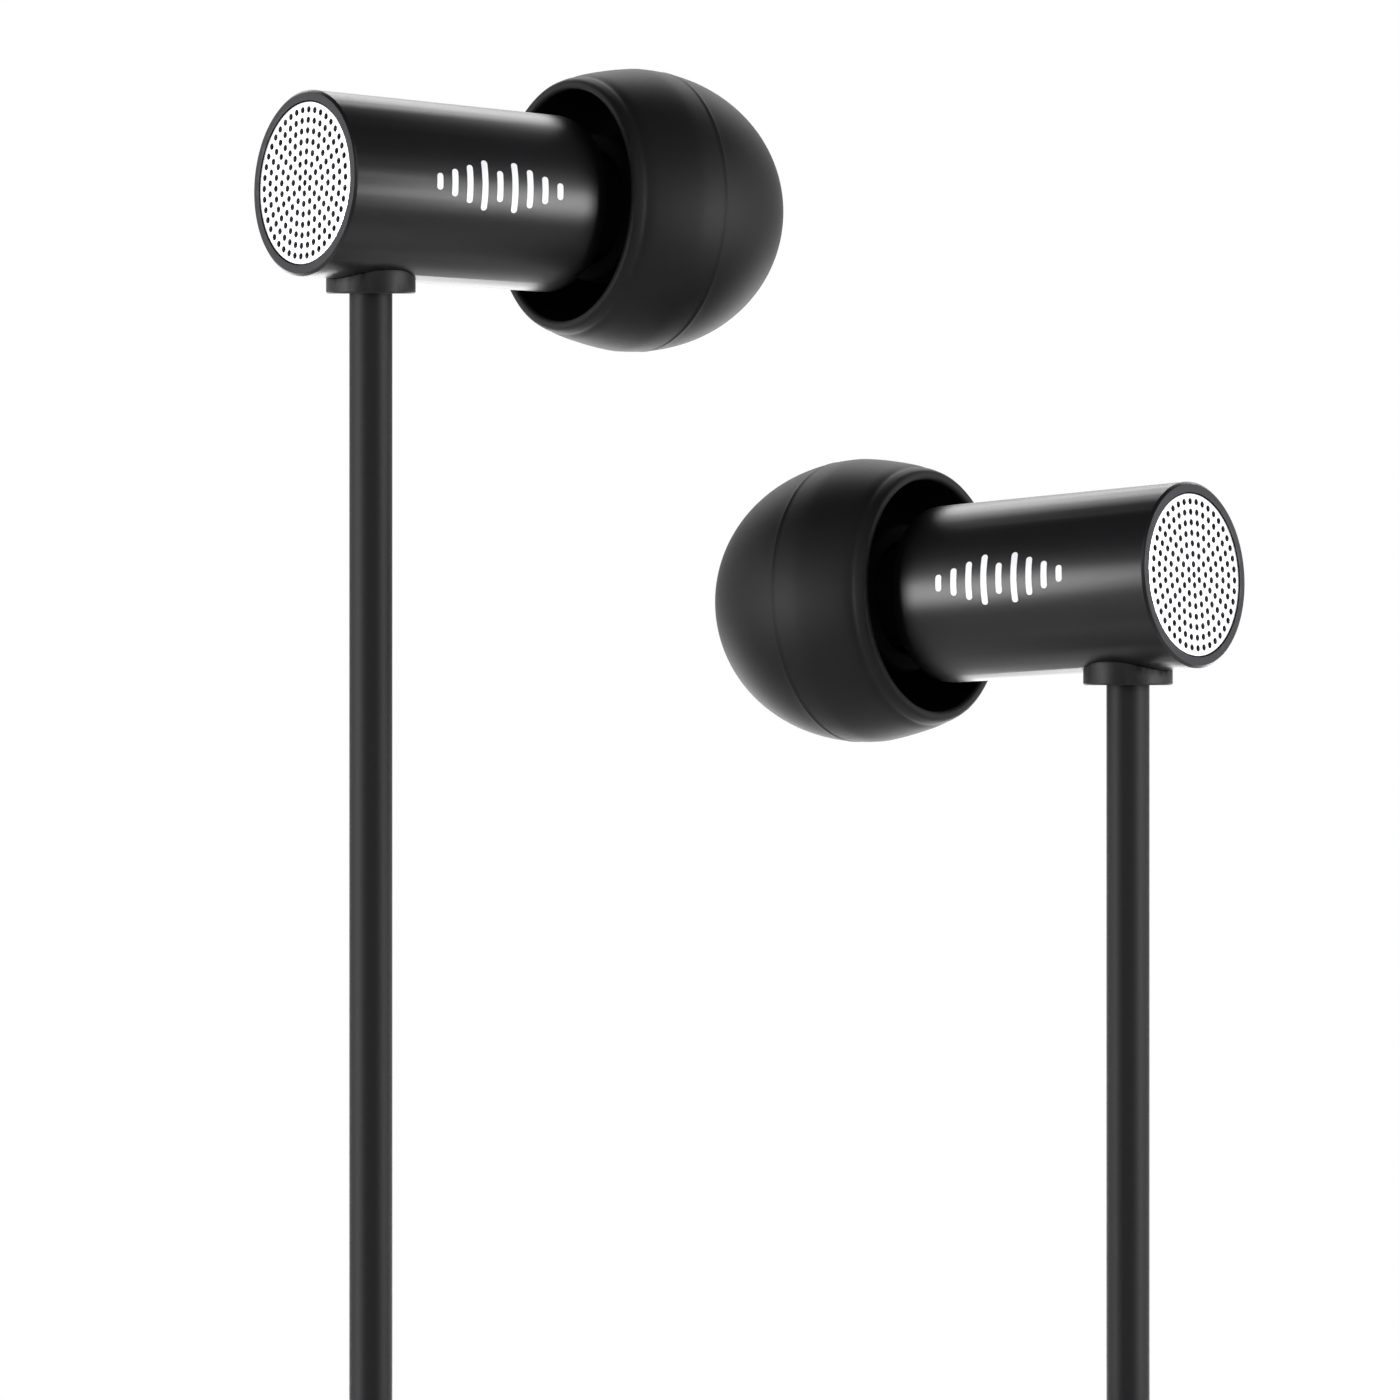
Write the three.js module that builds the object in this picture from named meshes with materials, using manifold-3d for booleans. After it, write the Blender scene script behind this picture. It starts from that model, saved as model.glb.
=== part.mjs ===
import * as THREE from "three";
import { mergeVertices } from "three/addons/utils/BufferGeometryUtils.js";
import Module from "manifold-3d";

// Wired in-ear earphones, in millimetres. +X right, +Y away from the viewer, +Z up.
// The origin is where the dome of the left ear tip would close if it had no outlet, 0.45 in front of
// the outlet's edge. The ears hold the tips; the cords hang from there.

// Driving dimensions.
const housingOd = 7.8; // housing outside diameter at its rear end
const housingTaper = 0.016; // radius lost for each millimetre towards the nozzle
const housingWall = 0.7;
const housingBore = housingOd - 2 * housingWall; // main bore
const housingLength = 12.2; // rear face to the start of the front shoulder
const shoulderR = 1.1;
const nozzleLength = 5.4; // from there to the nozzle's face
const nozzleLipR = 2.3;
const nozzleLipStep = 0.25; // what the tip holds on to
const nozzleNeckR = nozzleLipR - nozzleLipStep;
const nozzleBoreR = 1.6;
const nozzleFaceS = housingLength + nozzleLength;
const tipR = 5.93; // ear tip at its widest
const tipBehind = 4.45; // the skirt reaches this far back over the nozzle
const tipSkirt = 3.05; // rim to the widest place
const tipFront = 6.7; // widest place to where the dome would close
const tipRimS = nozzleFaceS - tipBehind; // rear rim of the skirt
const tipRimR = 5.28;
const tipWidestS = tipRimS + tipSkirt;
const tipEndS = tipWidestS + tipFront; // the origin is here on the left earphone
const tipBackPower = 1.3; // how the skirt swells from its rim, 2 would be a quarter ellipse
const tipFullness = 2.08; // 2 is an ellipse, more is squarer
const tipFrontAngle = 1.19; // the dome stops here, at the outlet
const tipWall = 0.55;
const tipLip = 0.42; // wall at the rim
const coreClearance = 0.06; // stands in for the stretch of the silicone over the lip
const coreWall = 0.74;
const coreBehind = 3.25; // the core reaches this far back over the nozzle
const coreBoreR = nozzleLipR + coreClearance;
const coreR = coreBoreR + coreWall;
const outletR = 1.95;
const yaw = 33.75; // degrees the nozzle points away from the picture plane
const pitch = 3.7; // degrees the nozzle points down
const mirrorX = -0.45; // the plane between the two earphones
const rightDrop = 16.33; // the right earphone sits this much lower
const reliefS = 3.33; // the cord leaves the housing here
const reliefR = 1.87;
const reliefDrop = 0.7; // underside of the strain relief below the housing's rear edge
const reliefWall = 0.44; // of the neck, round the cord
const flangeZ = -(housingOd / 2 + reliefDrop); // underside of the strain relief, from the rear centre
const legD = 1.8; // cord of each leg
const mainD = 2.0; // main cord
const fit = 0.05; // gap between pieces that sit in one another
const frontStep = 0.2; // the main bore stops this far short of the shoulder
const frameDepth = 2.6; // back of the driver to the front of its frame
const coverThick = 0.2;
const gasketThick = 0.45;
const coilGap = 0.3; // gap between cord solids
const coilZ = -69.1; // centre of the wound coil
const mainOuterR = 10.45;
const mainInnerR = 8.45;
const turnGap = 0.05; // between the turns of the main cord and those of the right leg
const legTurnGap = 0.15; // between the turns of the two legs
const rightR = mainOuterR + mainD / 2 + legD / 2 + turnGap;
const leftR = rightR + legD + legTurnGap;
const mainHalf = 6.15; // half the wound width of each cord
const rightHalf = 4.6;
const leftHalf = 3.85;

const wasm = await Module();
wasm.setup();

const paints = {
  anodised: 0x1f1f22,
  steel: 0xe8e8ec,
  cloth: 0x202022,
  plastic: 0x2b2b2e,
  board: 0x2c6b45,
  copper: 0xb06a3a,
  magnet: 0x9a9aa0,
  film: 0xc9b58a,
  gold: 0xd8b25a,
  silicone: 0x2a2a2d,
  rubber: 0x2e2e31,
  cord: 0x29292c,
  insulator: 0x3a3a3d,
};
const group = new THREE.Group();
group.name = "wired_earphones";

function add(name, geometry, paint, matrix) {
  const mesh = new THREE.Mesh(
    geometry,
    new THREE.MeshStandardMaterial({ color: paints[paint] }),
  );
  mesh.name = name;
  if (matrix) mesh.geometry.applyMatrix4(matrix);
  group.add(mesh);
}

function solid(geometry) {
  const g = geometry.clone();
  g.deleteAttribute("normal");
  g.deleteAttribute("uv");
  const m = mergeVertices(g, 1e-4);
  return new wasm.Manifold(
    new wasm.Mesh({
      numProp: 3,
      vertProperties: new Float32Array(m.attributes.position.array),
      triVerts: new Uint32Array(m.index.array),
    }),
  );
}

function geometryOf(manifold) {
  const m = manifold.getMesh();
  const g = new THREE.BufferGeometry();
  g.setAttribute("position", new THREE.BufferAttribute(m.vertProperties, 3));
  g.setIndex(new THREE.BufferAttribute(m.triVerts, 1));
  return g;
}

// Turns a profile of [radius, position] pairs about Y. The profile runs so that faces point outwards.
function lathe(profile, sides = 16) {
  const area = profile.reduce((sum, [r, s], i) => {
    const [r2, s2] = profile[(i + 1) % profile.length];
    return sum + r * s2 - r2 * s;
  }, 0);
  const points = (area > 0 ? profile : [...profile].reverse()).map(
    ([r, s]) => new THREE.Vector2(r, s),
  );
  const onAxis = points[0].x === 0 && points[points.length - 1].x === 0;
  if (!onAxis) points.push(points[0].clone());
  return new THREE.LatheGeometry(points, sides);
}

const ring = (inner, outer, from, to, sides) =>
  lathe(
    [
      [inner, from],
      [outer, from],
      [outer, to],
      [inner, to],
    ],
    sides,
  );
const disc = (r, from, to, sides) =>
  lathe(
    [
      [0, from],
      [r, from],
      [r, to],
      [0, to],
    ],
    sides,
  );

// Tube of a round cord along a smooth path through world points.
function tube(points, diameter, steps, sides = 8) {
  const shape = new THREE.Shape();
  for (let i = 0; i < sides; i++) {
    const a = (2 * Math.PI * i) / sides;
    shape[i ? "lineTo" : "moveTo"]((diameter / 2) * Math.cos(a), (diameter / 2) * Math.sin(a));
  }
  shape.closePath();
  const path = new THREE.CatmullRomCurve3(
    points.map((p) => new THREE.Vector3(...p)),
    false,
    "centripetal",
  );
  return new THREE.ExtrudeGeometry(shape, { steps, bevelEnabled: false, extrudePath: path });
}

// Frame of one earphone: X is its upper side, Y runs from the rear face along the nozzle.
function earFrame(side) {
  const mirror = side === "left" ? 1 : -1;
  const a = THREE.MathUtils.degToRad(yaw);
  const p = THREE.MathUtils.degToRad(pitch);
  const along = new THREE.Vector3(Math.cos(p) * Math.cos(a), Math.cos(p) * Math.sin(a), -Math.sin(p));
  const rear = along.clone().multiplyScalar(-tipEndS);
  if (side === "right") {
    rear.set(2 * mirrorX - rear.x, rear.y, rear.z - rightDrop);
  }
  along.x *= mirror;
  const up = new THREE.Vector3(0, 0, 1).addScaledVector(along, -along.z).normalize();
  const across = up.clone().cross(along);
  return new THREE.Matrix4().makeBasis(up, along, across).setPosition(rear);
}

const taperR = (s) => housingOd / 2 - housingTaper * s;

function housingProfile() {
  const bore = housingBore / 2;
  const shoulder = [];
  const top = taperR(housingLength);
  for (let i = 0; i <= 3; i++) {
    const a = (Math.PI / 2) * (i / 3);
    shoulder.push([top - shoulderR * (1 - Math.cos(a)), housingLength + shoulderR * Math.sin(a)]);
  }
  return [
    [bore + 0.25, 0],
    [taperR(0) - 0.1, 0],
    [taperR(0), 0.12],
    ...shoulder,
    [nozzleNeckR, housingLength + shoulderR + 0.1],
    [nozzleNeckR, nozzleFaceS - 1.3],
    [nozzleLipR, nozzleFaceS - 1.0],
    [nozzleLipR, nozzleFaceS - 0.3],
    [nozzleLipR - 0.25, nozzleFaceS],
    [nozzleBoreR + 0.15, nozzleFaceS],
    [nozzleBoreR + 0.15, nozzleFaceS - 0.35],
    [nozzleBoreR, nozzleFaceS - 0.35],
    [nozzleBoreR, housingLength - frontStep],
    [bore, housingLength - frontStep],
    [bore, 0.4],
    [bore + 0.25, 0.4],
  ];
}

// Skirt rim, round the widest ring, over the front dome to the outlet, then back inside.
function domeProfile() {
  const outer = [];
  for (let i = 0; i <= 4; i++) {
    const f = i / 4;
    const swell = (1 - (1 - f) ** tipBackPower) ** (1 / tipBackPower);
    outer.push([tipRimR + (tipR - tipRimR) * swell, tipRimS + (tipWidestS - tipRimS) * f]);
  }
  const front = tipEndS - tipWidestS;
  for (let i = 1; i <= 7; i++) {
    const a = (i / 7) * tipFrontAngle;
    const power = 2 / tipFullness;
    outer.push([tipR * Math.cos(a) ** power, tipWidestS + front * Math.sin(a) ** power]);
  }
  const mouthS = outer[outer.length - 1][1];
  outer.push([outletR + 0.1, mouthS + 0.04]);
  const inner = [
    [outletR, mouthS - 0.1],
    [outletR, tipEndS - 1.1],
    [coreR + fit, tipEndS - 1.1],
    [coreR + fit, tipEndS - 3.0],
    [coreR + 0.5, tipEndS - 3.3],
    [tipR - 1.58, tipWidestS + 2.75],
    [tipR - 0.98, tipWidestS + 1.7],
    [tipR - tipWall, tipWidestS + 0.1],
    [tipR - tipWall - 0.14, tipWidestS - 1.1],
    [tipRimR - tipLip + 0.12, tipRimS + 0.6],
    [tipRimR - tipLip, tipRimS + 0.15],
    [tipRimR - tipLip / 2, tipRimS - 0.05],
  ];
  return [...outer, ...inner];
}

function earphone(side) {
  const frame = earFrame(side);
  const inverse = frame.clone().invert();
  const bore = housingBore / 2;
  const put = (name, geometry, paint) => add(`${side}_${name}`, geometry, paint, frame);

  // The cord drops straight down, a few degrees off square to the housing.
  const rear = new THREE.Vector3().setFromMatrixPosition(frame);
  const exit = new THREE.Vector3(0, reliefS, 0).applyMatrix4(frame);
  const drop = new THREE.Matrix4().makeRotationX(Math.PI / 2);
  const upright = (geometry) => geometry.applyMatrix4(drop.clone().setPosition(exit)).applyMatrix4(inverse);
  const flangeDrop = rear.z + flangeZ - exit.z;
  const neckR = legD / 2 + reliefWall;

  const hole = solid(upright(disc(neckR + 0.06, -bore + 1.7, flangeDrop - 1.633, 16)));
  put("housing", geometryOf(solid(lathe(housingProfile(), 24)).subtract(hole)), "anodised");

  const wall = taperR(reliefS);
  const flange = solid(
    upright(
      lathe([
        [0, flangeDrop],
        [reliefR - 0.08, flangeDrop],
        [reliefR, flangeDrop + 0.12],
        [reliefR, flangeDrop + 0.85],
        [reliefR - 0.35, flangeDrop + 1.35],
        [0, flangeDrop + 1.35],
      ]),
    ),
  );
  const barrel = solid(disc(wall + 0.04, -1, housingLength, 24));
  const neck = solid(upright(disc(neckR, flangeDrop + 0.3, -bore + 0.3, 16)));
  const cordHole = solid(upright(disc(legD / 2 + fit, flangeDrop - 1, 0, 16)));
  put("strain_relief", geometryOf(flange.subtract(barrel).add(neck).subtract(cordHole)), "rubber");
  put("cord_stop", upright(ring(legD / 2 + fit, neckR - 0.04, -bore + 0.36, -bore + 1.16, 16)), "copper");

  put("rear_grille", disc(bore + 0.2, 0.02, 0.37, 24), "steel");
  put("rear_screen", disc(bore - fit, 0.42, 0.52), "cloth");
  put("retainer_ring", ring(bore - 0.5, bore - fit, 0.57, 1.07), "plastic");

  // The driver is stacked back from the front of the bore, and its parts are sized inwards from the bore.
  const gasketEnd = housingLength - frontStep - fit;
  const coverEnd = gasketEnd - gasketThick - fit;
  const frameEnd = coverEnd - coverThick - fit;
  const yokeEnd = frameEnd - 0.9;
  const d = frameEnd - frameDepth;
  const driverR = bore - 0.08;
  const yokeR = driverR - 0.9;
  const yokeBoreR = yokeR - 0.32;
  const poleR = yokeBoreR - 0.45;
  const coilR = yokeBoreR - 0.14;
  const foldR = yokeR + 0.08;
  put("terminal_board", disc(foldR, d - 0.7, d - 0.3, 16), "board");
  put(
    "driver_frame",
    lathe([
      [foldR, d + 0.15],
      [driverR, d + 0.15],
      [driverR, frameEnd],
      [driverR - 0.22, frameEnd],
      [driverR - 0.22, yokeEnd],
      [foldR, yokeEnd],
    ]),
    "plastic",
  );
  put(
    "driver_yoke",
    lathe([
      [0, d],
      [yokeR, d],
      [yokeR, yokeEnd],
      [yokeBoreR, yokeEnd],
      [yokeBoreR, d + 0.35],
      [0, d + 0.35],
    ]),
    "magnet",
  );
  put("driver_magnet", disc(poleR - 0.15, d + 0.4, yokeEnd - 0.45, 16), "magnet");
  put("driver_pole_plate", disc(poleR, yokeEnd - 0.4, yokeEnd - 0.05, 16), "magnet");
  put("voice_coil", ring(coilR - 0.18, coilR, yokeEnd - 0.8, frameEnd - 0.6, 16), "copper");
  put(
    "diaphragm",
    lathe([
      [0, frameEnd - 0.25],
      [coilR - 0.86, frameEnd - 0.35],
      [coilR - 0.06, frameEnd - 0.55],
      [foldR, frameEnd - 0.38],
      [foldR + 0.48, frameEnd - 0.6],
      [foldR + 0.52, frameEnd - 0.52],
      [foldR, frameEnd - 0.29],
      [coilR - 0.06, frameEnd - 0.46],
      [coilR - 0.86, frameEnd - 0.26],
      [0, frameEnd - 0.16],
    ]),
    "film",
  );
  put("driver_cover", ring(1.1, driverR, coverEnd - coverThick, coverEnd), "steel");
  put("front_gasket", ring(foldR - 0.1, driverR, gasketEnd - gasketThick, gasketEnd), "rubber");
  put("nozzle_screen", disc(nozzleBoreR + 0.1, nozzleFaceS - 0.3, nozzleFaceS - 0.05), "cloth");

  put("tip_core", ring(coreBoreR, coreR, nozzleFaceS - coreBehind, tipEndS - 1.15, 20), "silicone");
  put("tip_dome", lathe(domeProfile(), 24), "silicone");

  // Two enamelled leads run from the end of the cord to the terminal board.
  for (const [i, w] of [0.45, -0.45].entries()) {
    const path = [
      [-1.35, reliefS + 0.1, w],
      [-1.0, reliefS + 0.9, w * 1.3],
      [-0.9, d - 3.0, w * 2],
      [-0.9, d - 0.8, w * 2.4],
    ];
    put(`lead_${i ? "b" : "a"}`, tube(path, 0.3, 8, 6), "copper");
  }
  return { exit, flangeBottom: rear.z + flangeZ };
}

const left = earphone("left");
const right = earphone("right");

// Cords. Points are given from the coil's centre: x across, y away, z up.
const coilY = left.exit.y;
const at = ([x, y, z]) => [mirrorX + x, coilY + y, coilZ + z];
const legX = mirrorX - left.exit.x;

function cord(name, points, diameter, steps) {
  add(name, tube(points, diameter, steps), "cord");
}
cord(
  "cord_left_upper",
  [
    [left.exit.x, coilY, left.exit.z - 1.55],
    [left.exit.x, coilY, -30],
    at([-legX, 0, 22]),
    at([-legX, 0, 18]),
    at([-leftR - 1.388, 1.2, 12.5]),
    at([-leftR - 1.238, 2.4, 8.5]),
    at([-leftR - 0.988, 2.9, 5.2]),
  ],
  legD,
  22,
);
cord(
  "cord_right_upper",
  [
    [right.exit.x, coilY, right.exit.z - 1.55],
    [right.exit.x, coilY, -38],
    at([legX, 0, 22]),
    at([legX, 0, 18.5]),
    at([rightR + 3.338, 1.6, 14.5]),
    at([rightR + 2.988, 4.2, 9.5]),
    at([rightR + 2.088, 5.2, 6.3]),
    at([rightR + 1.188, 5.35, 4.3]),
  ],
  legD,
  20,
);

const cordRing = (name, inner, outer, near, far) =>
  add(
    name,
    ring(inner, outer, near, far, 28),
    "cord",
    new THREE.Matrix4().setPosition(...at([0, 0, 0])),
  );
cordRing("cord_main_coil", mainInnerR - mainD / 2, mainOuterR + mainD / 2, -mainHalf, mainHalf);
cordRing("cord_right_coil", mainOuterR + mainD / 2 + coilGap, rightR + legD / 2 - 0.05, -rightHalf, rightHalf);
cordRing("cord_left_coil", rightR + legD / 2 - 0.05 + coilGap, leftR + legD / 2, -leftHalf, leftHalf);

const pairGap = 0.8; // between the two legs where they hang side by side
const pairX = (legD + pairGap) / 2;
const pairY = -(rightHalf + legD / 2 + 0.1);
const splitterTop = -38;
const splitterLength = 12;
const splitterWall = 0.85;
const sliderWall = 0.75;
const splitterR = legD / 2 + splitterWall;
const sliderR = legD / 2 + sliderWall;
cord(
  "cord_left_lower",
  [
    at([-3.95, pairY + 0.5, -15.75]),
    at([-2.52, pairY + 0.2, -17.45]),
    at([-1.61, pairY, -19.5]),
    at([-pairX, pairY, -21.7]),
    at([-pairX, pairY, -23.5]),
    at([-pairX, pairY, -30]),
    at([-pairX, pairY, splitterTop - 2]),
  ],
  legD,
  14,
);
cord(
  "cord_right_lower",
  [
    at([4.9, pairY, -12.27]),
    at([3.95, pairY, -13.13]),
    at([2.52, pairY, -14.83]),
    at([1.61, pairY, -16.9]),
    at([pairX, pairY, -19.1]),
    at([pairX, pairY, -21]),
    at([pairX, pairY, -30]),
    at([pairX, pairY, splitterTop - 2]),
  ],
  legD,
  14,
);

const mainUpX = mainOuterR;
const mainY = -(mainHalf + mainD / 2 + 0.35);
const turnR = mainUpX / 2;
const turnZ = splitterTop - splitterLength - 2.5;
const turn = [];
for (let i = 0; i <= 6; i++) {
  const a = Math.PI + (Math.PI * i) / 6;
  turn.push(at([turnR + turnR * Math.cos(a), pairY, turnZ + turnR * Math.sin(a)]));
}
cord(
  "cord_main_upper",
  [
    at([0, pairY, splitterTop - splitterLength + 3]),
    ...turn,
    at([mainUpX, pairY, turnZ + 10]),
    at([mainUpX, mainY, turnZ + 26]),
    at([mainUpX, mainY, -14]),
    at([mainUpX, mainY, -1]),
  ],
  mainD,
  30,
);

const plugX = -mainInnerR;
const plugTop = -20;
cord(
  "cord_main_lower",
  [at([plugX, mainY, -0.5]), at([plugX, mainY, -10]), at([plugX, mainY, plugTop - 9])],
  mainD,
  6,
);

// Splitter: a flattened moulding with pockets for the three cords.
const alongZ = (geometry, x, y, z) =>
  geometry.rotateX(Math.PI / 2).applyMatrix4(new THREE.Matrix4().setPosition(...at([x, y, z])));
function pill(halfWidth, r, length, chamfer, sides = 5) {
  const shape = new THREE.Shape();
  shape.absarc(halfWidth, 0, r - chamfer, -Math.PI / 2, Math.PI / 2, false);
  shape.absarc(-halfWidth, 0, r - chamfer, Math.PI / 2, (3 * Math.PI) / 2, false);
  shape.closePath();
  return new THREE.ExtrudeGeometry(shape, {
    depth: length - 2 * chamfer,
    bevelSize: chamfer,
    bevelThickness: chamfer,
    bevelSegments: 1,
    curveSegments: sides,
  }).translate(0, 0, chamfer);
}
const hollow = (r, x, from, to) => {
  const drill = disc(r, 0, to - from, 12).rotateX(Math.PI / 2);
  return solid(drill.applyMatrix4(new THREE.Matrix4().setPosition(...at([x, pairY, from]))));
};
const pillAt = (halfWidth, r, length, from, chamfer) =>
  solid(
    pill(halfWidth, r, length, chamfer).applyMatrix4(
      new THREE.Matrix4().setPosition(...at([0, pairY, from])),
    ),
  );
add(
  "splitter",
  geometryOf(
    pillAt(pairX, splitterR, splitterLength, splitterTop - splitterLength, 0.4)
      .subtract(hollow(legD / 2 + fit, -pairX, splitterTop - 2.3, splitterTop + 1))
      .subtract(hollow(legD / 2 + fit, pairX, splitterTop - 2.3, splitterTop + 1))
      .subtract(hollow(mainD / 2 + fit, 0, splitterTop - splitterLength - 1, splitterTop - splitterLength + 3.3)),
  ),
  "rubber",
);
const sliderLength = 5;
add(
  "slider",
  geometryOf(
    pillAt(pairX, sliderR, sliderLength, splitterTop + 0.4, 0.3)
      .subtract(hollow(legD / 2 + fit, -pairX, splitterTop - 1, splitterTop + 8))
      .subtract(hollow(legD / 2 + fit, pairX, splitterTop - 1, splitterTop + 8)),
  ),
  "rubber",
);

// The plug hangs beside the splitter, tip down.
const turned = (profile, sides = 16) => {
  const g = lathe(profile, sides);
  g.rotateX(Math.PI / 2);
  return g.applyMatrix4(new THREE.Matrix4().setPosition(...at([plugX, mainY, 0])));
};
const reliefLength = 7;
const reliefTopR = mainD / 2 + 0.45;
const reliefEndR = mainD / 2 + 0.95;
const barrelBoreR = reliefEndR + fit;
const barrelR = barrelBoreR + 1.05;
const plugR = 1.75; // contacts of the 3.5 plug
const pinR = 0.57; // the tip's stem, down the middle of the others
const barrelTop = plugTop - reliefLength;
const barrelLength = 15;
const shoulder = barrelTop - barrelLength;
add(
  "plug_relief",
  turned([
    [mainD / 2 + fit, plugTop],
    [reliefTopR, plugTop],
    [reliefEndR, barrelTop],
    [reliefEndR, barrelTop - 2.4],
    [mainD / 2 + fit, barrelTop - 2.4],
  ]),
  "rubber",
);
add(
  "plug_barrel",
  turned([
    [barrelBoreR, barrelTop],
    [barrelR - 0.3, barrelTop],
    [barrelR, barrelTop - 0.4],
    [barrelR, shoulder + 0.3],
    [barrelR - 0.3, shoulder],
    [plugR + fit, shoulder],
    [plugR + fit, shoulder + 3],
    [plugR - 0.5, shoulder + 3],
    [plugR - 0.5, barrelTop - 2.5],
    [barrelBoreR, barrelTop - 2.5],
  ]),
  "plastic",
);
add(
  "plug_sleeve",
  turned([
    [plugR - 0.7, shoulder + 2.9],
    [plugR, shoulder + 2.9],
    [plugR, shoulder - 7.0],
    [plugR - 0.7, shoulder - 7.0],
  ]),
  "gold",
);
add(
  "plug_insulator_upper",
  turned([
    [pinR + fit, shoulder + 2.5],
    [plugR - 0.75, shoulder + 2.5],
    [plugR - 0.75, shoulder - 7.05],
    [plugR - 0.07, shoulder - 7.05],
    [plugR - 0.07, shoulder - 7.55],
    [pinR + fit, shoulder - 7.55],
  ]),
  "insulator",
);
const band = (outer, from, to) =>
  turned([
    [pinR + fit, from],
    [outer, from],
    [outer, to],
    [pinR + fit, to],
  ]);
add("plug_ring", band(plugR, shoulder - 7.6, shoulder - 9.8), "gold");
add("plug_insulator_lower", band(plugR - 0.07, shoulder - 9.85, shoulder - 10.35), "insulator");
add(
  "plug_tip",
  turned([
    [0, shoulder + 2.4],
    [pinR, shoulder + 2.4],
    [pinR, shoulder - 10.4],
    [plugR, shoulder - 10.4],
    [plugR, shoulder - 10.9],
    [plugR - 0.45, shoulder - 11.6],
    [plugR - 0.2, shoulder - 12.2],
    [plugR - 0.4, shoulder - 13.2],
    [0.5, shoulder - 14],
    [0, shoulder - 14],
  ]),
  "gold",
);

// Tie: a soft band round the bundle at the top of the coil.
const bandOuter = new THREE.Shape();
const tieWidth = 5;
const tieLow = Math.sqrt((mainInnerR - mainD / 2) ** 2 - (tieWidth / 2) ** 2) - coilGap;
const tieHigh = leftR + legD / 2 + 0.35;
const tieHalf = mainHalf + 0.35;
const corner = (shape, low, high, half, c) => {
  shape.moveTo(-half + c, low);
  shape.lineTo(half - c, low);
  shape.lineTo(half, low + c);
  shape.lineTo(half, high - c);
  shape.lineTo(half - c, high);
  shape.lineTo(-half + c, high);
  shape.lineTo(-half, high - c);
  shape.lineTo(-half, low + c);
  shape.closePath();
};
corner(bandOuter, tieLow - 0.7, tieHigh + 0.7, tieHalf + 0.7, 0.5);
const bandInner = new THREE.Path();
corner(bandInner, tieLow, tieHigh, tieHalf, 0.1);
bandOuter.holes.push(bandInner);
add(
  "coil_tie",
  new THREE.ExtrudeGeometry(bandOuter, { depth: tieWidth, bevelEnabled: false }).translate(
    0,
    0,
    -tieWidth / 2,
  ),
  "cloth",
  new THREE.Matrix4()
    .makeBasis(new THREE.Vector3(0, 1, 0), new THREE.Vector3(0, 0, 1), new THREE.Vector3(1, 0, 0))
    .setPosition(...at([0, 0, 0])),
);

export default group;
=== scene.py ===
import math

import bmesh
import bpy
from mathutils import Matrix, Vector


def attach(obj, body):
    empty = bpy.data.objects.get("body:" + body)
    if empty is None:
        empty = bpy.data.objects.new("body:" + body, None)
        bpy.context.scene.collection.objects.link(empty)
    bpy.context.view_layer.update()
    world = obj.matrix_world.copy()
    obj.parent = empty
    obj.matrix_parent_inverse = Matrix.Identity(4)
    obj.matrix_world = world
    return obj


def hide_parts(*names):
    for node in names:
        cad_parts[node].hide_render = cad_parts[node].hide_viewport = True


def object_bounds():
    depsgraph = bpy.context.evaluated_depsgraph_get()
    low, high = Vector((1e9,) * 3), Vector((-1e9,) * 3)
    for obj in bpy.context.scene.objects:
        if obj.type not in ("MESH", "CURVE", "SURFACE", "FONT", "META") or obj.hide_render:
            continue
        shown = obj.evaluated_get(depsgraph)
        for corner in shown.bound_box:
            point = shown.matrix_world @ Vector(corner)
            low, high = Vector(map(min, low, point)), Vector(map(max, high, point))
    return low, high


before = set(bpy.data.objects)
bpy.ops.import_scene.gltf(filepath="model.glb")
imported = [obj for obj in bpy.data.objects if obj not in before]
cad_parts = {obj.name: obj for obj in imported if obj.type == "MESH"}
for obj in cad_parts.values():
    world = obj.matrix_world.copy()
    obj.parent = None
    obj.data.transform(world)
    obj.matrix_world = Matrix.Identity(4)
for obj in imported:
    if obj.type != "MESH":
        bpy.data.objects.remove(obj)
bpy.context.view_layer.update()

mm = 0.001  # pieces are made at the bench in millimetres and put in place in metres
root = "earphones"

pose = {  # how the pair hangs, as in the CAD model
    "length": 22.9,  # rear face to the origin, where the ear tip's dome would close
    "yaw": 33.75,  # the nozzle points this far away from the picture plane
    "pitch": 3.7,  # and this far down
    "mirrorX": -0.45,
    "rightDrop": 16.33,
    "cordExit": 3.33,  # from the rear face to the cord's line
    "flange": -4.6,  # underside of the strain relief, from the rear centre
    "legD": 1.8,
    "mainD": 2.0,
}


def earAxis(side):
    yaw, pitch = math.radians(pose["yaw"]), math.radians(pose["pitch"])
    axis = Vector((math.cos(pitch) * math.cos(yaw), math.cos(pitch) * math.sin(yaw), -math.sin(pitch)))
    rear = axis * -pose["length"]
    if side == "right":
        axis.x = -axis.x
        rear = Vector((2 * pose["mirrorX"] - rear.x, rear.y, rear.z - pose["rightDrop"]))
    return rear, axis


# Bench to earphone: bench Z runs along the nozzle from the rear face, bench X is the upper side.
def earPlace(side):
    rear, axis = earAxis(side)
    up = (Vector((0, 0, 1)) - axis * axis.z).normalized()
    turn = Matrix((up, axis.cross(up), axis)).transposed().to_4x4()
    return Matrix.Scale(mm, 4) @ Matrix.Translation(rear) @ turn


# Bench to cord: bench Z is up, bench X points the nozzle's way, and the origin is where the cord's
# line meets the housing's axis.
def cordPlace(side):
    rear, axis = earAxis(side)
    forward = Vector((axis.x, axis.y, 0)).normalized()
    up = Vector((0, 0, 1))
    turn = Matrix((forward, up.cross(forward), up)).transposed().to_4x4()
    return Matrix.Scale(mm, 4) @ Matrix.Translation(rear + axis * pose["cordExit"]) @ turn


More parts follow.
